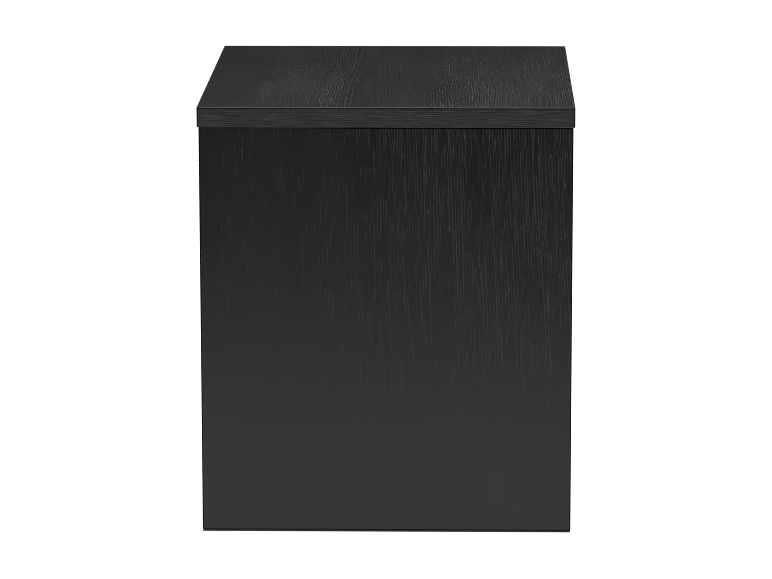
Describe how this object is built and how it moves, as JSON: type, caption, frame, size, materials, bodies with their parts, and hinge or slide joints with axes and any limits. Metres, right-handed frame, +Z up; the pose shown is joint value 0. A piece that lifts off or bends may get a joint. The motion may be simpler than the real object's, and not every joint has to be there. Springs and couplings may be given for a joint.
{
  "type": "apple box",
  "caption": "Closed black oak-veneered apple box: mitred walls on a screwed bottom with small glides, a slab top standing slightly proud, and a hand hole in each side.",
  "frame": {"origin": "on the floor, under the middle of the box", "axes": "+X to the right as seen from the front, +Y from the front to the back, +Z up through the top"},
  "size_m": [0.45, 0.54, 0.52],
  "materials": {
    "black_oak_face": "open-pore oak veneer, black stain, satin lacquer, vertical grain",
    "black_oak_top": "open-pore oak veneer, black stain, satin lacquer, grain front to back",
    "black_oak_edge": "black-stained solid oak edge band, satin lacquer, grain along the edge",
    "core_board": "fine fibreboard, stained black where it shows",
    "backing_veneer": "plain backing veneer, thin dark stain, matt",
    "stained_plywood": "birch plywood, thin black stain, matt",
    "softwood": "planed pine, unfinished",
    "beech": "plain beech, unfinished",
    "zinc_steel": "bright zinc plate",
    "glide_plastic": "moulded black nylon, matt"
  },
  "bodies": {
    "root": {"top_core": "core_board", "top_face_veneer": "black_oak_top", "top_backing_veneer": "backing_veneer", "top_band_front": "black_oak_edge", "top_band_right": "black_oak_edge", "top_band_back": "black_oak_edge", "top_band_left": "black_oak_edge", "front_core": "core_board", "right_core": "core_board", "back_core": "core_board", "left_core": "core_board", "front_veneer": "black_oak_face", "right_veneer": "black_oak_face", "back_veneer": "black_oak_face", "left_veneer": "black_oak_face", "front_backing": "backing_veneer", "right_backing": "backing_veneer", "back_backing": "backing_veneer", "left_backing": "backing_veneer", "spline_front_left": "beech", "spline_front_right": "beech", "spline_back_right": "beech", "spline_back_left": "beech", "post_front_left": "softwood", "post_front_right": "softwood", "post_back_right": "softwood", "post_back_left": "softwood", "top_cleat_front": "softwood", "top_cleat_right": "softwood", "top_cleat_back": "softwood", "top_cleat_left": "softwood", "bottom_cleat_front": "softwood", "bottom_cleat_right": "softwood", "bottom_cleat_back": "softwood", "bottom_cleat_left": "softwood", "brace": "stained_plywood", "bottom_panel": "stained_plywood", "top_dowels": "beech", "top_screws": "zinc_steel", "bottom_screws": "zinc_steel", "glide_front_left": "glide_plastic", "glide_front_right": "glide_plastic", "glide_back_right": "glide_plastic", "glide_back_left": "glide_plastic", "glide_nails": "zinc_steel"}
  },
  "joints": []
}
